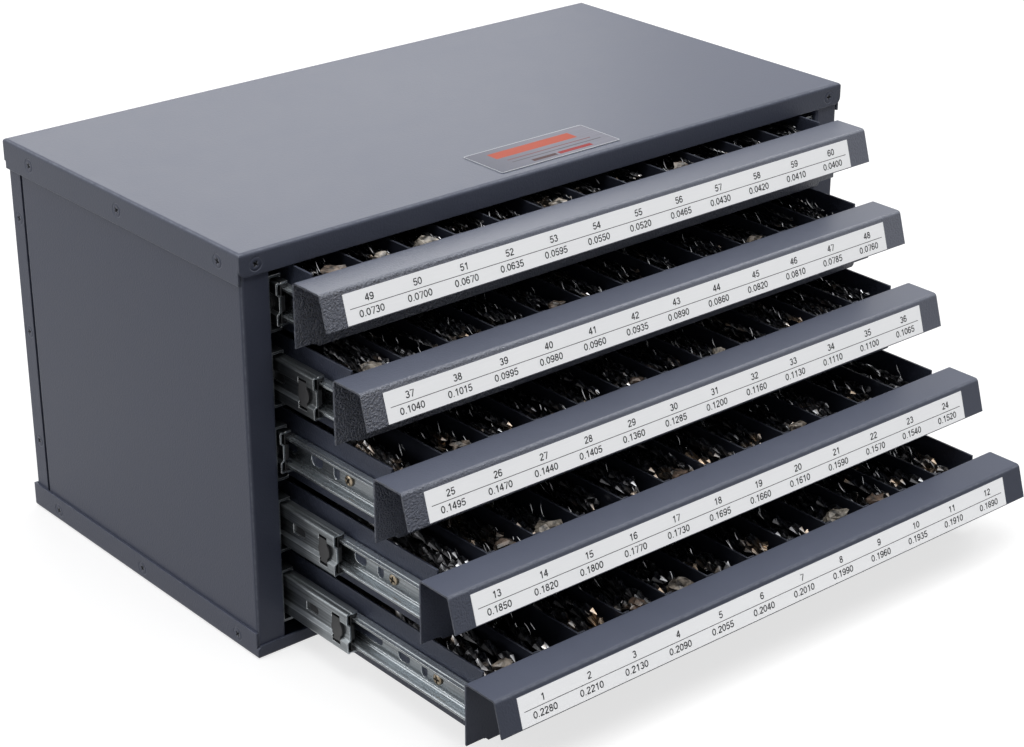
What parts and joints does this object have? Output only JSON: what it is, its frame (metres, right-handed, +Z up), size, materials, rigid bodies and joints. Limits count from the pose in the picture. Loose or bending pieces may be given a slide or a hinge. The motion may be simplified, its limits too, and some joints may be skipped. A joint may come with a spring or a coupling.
{
  "type": "drill bit drawer case",
  "caption": "Low steel cabinet of shallow full-extension drawers on ball slides, each with a finger pull lip and a numbered label over its row of drill bit compartments.",
  "frame": {"origin": "middle of the case's underside, on the surface that it stands on", "axes": "+X along the front to the right, +Y towards the back, +Z up; the drawers open towards -Y"},
  "size_m": [0.4, 0.3779, 0.2134],
  "materials": {
    "painted_steel": "textured slate grey powder coat",
    "painted_screw": "painted over with the case",
    "zinc_steel": "zinc plated, satin",
    "black_plastic": "satin black",
    "brassy_steel": "yellow zinc plated",
    "tool_steel": "bright and black oxide tool steel",
    "label_print": "dark print on brushed silver film",
    "plate_print": "silver film with plain coloured bars"
  },
  "bodies": {
    "case": {"top_cover": "painted_steel", "bottom_pan": "painted_steel", "left_side_panel": "painted_steel", "right_side_panel": "painted_steel", "back_panel": "painted_steel", "rear_uprights": "painted_steel", "outer_rails": "zinc_steel", "case_screws": "painted_screw", "rail_mounting_screws": "zinc_steel", "name_plate": "plate_print"},
    "carriage_1": {"middle_rails_1": "zinc_steel", "rail_bumpers_1": "black_plastic", "ball_cages_1": "zinc_steel"},
    "drawer_1": {"drawer_front_1": "painted_steel", "drawer_tray_1": "painted_steel", "dividers_1": "painted_steel", "label_strip_1": "label_print", "inner_rails_1": "zinc_steel", "drawer_screws_1": "brassy_steel", "drill_bits_1": "tool_steel"},
    "carriage_2": {"middle_rails_2": "zinc_steel", "rail_bumpers_2": "black_plastic", "ball_cages_2": "zinc_steel"},
    "drawer_2": {"drawer_front_2": "painted_steel", "drawer_tray_2": "painted_steel", "dividers_2": "painted_steel", "label_strip_2": "label_print", "inner_rails_2": "zinc_steel", "drawer_screws_2": "brassy_steel", "drill_bits_2": "tool_steel"},
    "carriage_3": {"middle_rails_3": "zinc_steel", "rail_bumpers_3": "black_plastic", "ball_cages_3": "zinc_steel"},
    "drawer_3": {"drawer_front_3": "painted_steel", "drawer_tray_3": "painted_steel", "dividers_3": "painted_steel", "label_strip_3": "label_print", "inner_rails_3": "zinc_steel", "drawer_screws_3": "brassy_steel", "drill_bits_3": "tool_steel"},
    "carriage_4": {"middle_rails_4": "zinc_steel", "rail_bumpers_4": "black_plastic", "ball_cages_4": "zinc_steel"},
    "drawer_4": {"drawer_front_4": "painted_steel", "drawer_tray_4": "painted_steel", "dividers_4": "painted_steel", "label_strip_4": "label_print", "inner_rails_4": "zinc_steel", "drawer_screws_4": "brassy_steel", "drill_bits_4": "tool_steel"},
    "carriage_5": {"middle_rails_5": "zinc_steel", "rail_bumpers_5": "black_plastic", "ball_cages_5": "zinc_steel"},
    "drawer_5": {"drawer_front_5": "painted_steel", "drawer_tray_5": "painted_steel", "dividers_5": "painted_steel", "label_strip_5": "label_print", "inner_rails_5": "zinc_steel", "drawer_screws_5": "brassy_steel", "drill_bits_5": "tool_steel"}
  },
  "joints": [
    {"name": "middle_rails_slide_1", "type": "slide", "parent": "case", "child": "carriage_1", "axis": [0, -1, 0], "range_m": [-0.003, 0.097]},
    {"name": "drawer_slide_1", "type": "slide", "parent": "carriage_1", "child": "drawer_1", "axis": [0, -1, 0], "range_m": [-0.0135, 0.0865]},
    {"name": "middle_rails_slide_2", "type": "slide", "parent": "case", "child": "carriage_2", "axis": [0, -1, 0], "range_m": [-0.0298, 0.0702]},
    {"name": "drawer_slide_2", "type": "slide", "parent": "carriage_2", "child": "drawer_2", "axis": [0, -1, 0], "range_m": [-0.0156, 0.0844]},
    {"name": "middle_rails_slide_3", "type": "slide", "parent": "case", "child": "carriage_3", "axis": [0, -1, 0], "range_m": [-0.0008, 0.0992]},
    {"name": "drawer_slide_3", "type": "slide", "parent": "carriage_3", "child": "drawer_3", "axis": [0, -1, 0], "range_m": [-0.0735, 0.0265]},
    {"name": "middle_rails_slide_4", "type": "slide", "parent": "case", "child": "carriage_4", "axis": [0, -1, 0], "range_m": [-0.0415, 0.0585]},
    {"name": "drawer_slide_4", "type": "slide", "parent": "carriage_4", "child": "drawer_4", "axis": [0, -1, 0], "range_m": [-0.0653, 0.0347]},
    {"name": "middle_rails_slide_5", "type": "slide", "parent": "case", "child": "carriage_5", "axis": [0, -1, 0], "range_m": [-0.0499, 0.0501]},
    {"name": "drawer_slide_5", "type": "slide", "parent": "carriage_5", "child": "drawer_5", "axis": [0, -1, 0], "range_m": [-0.0889, 0.0111]}
  ]
}
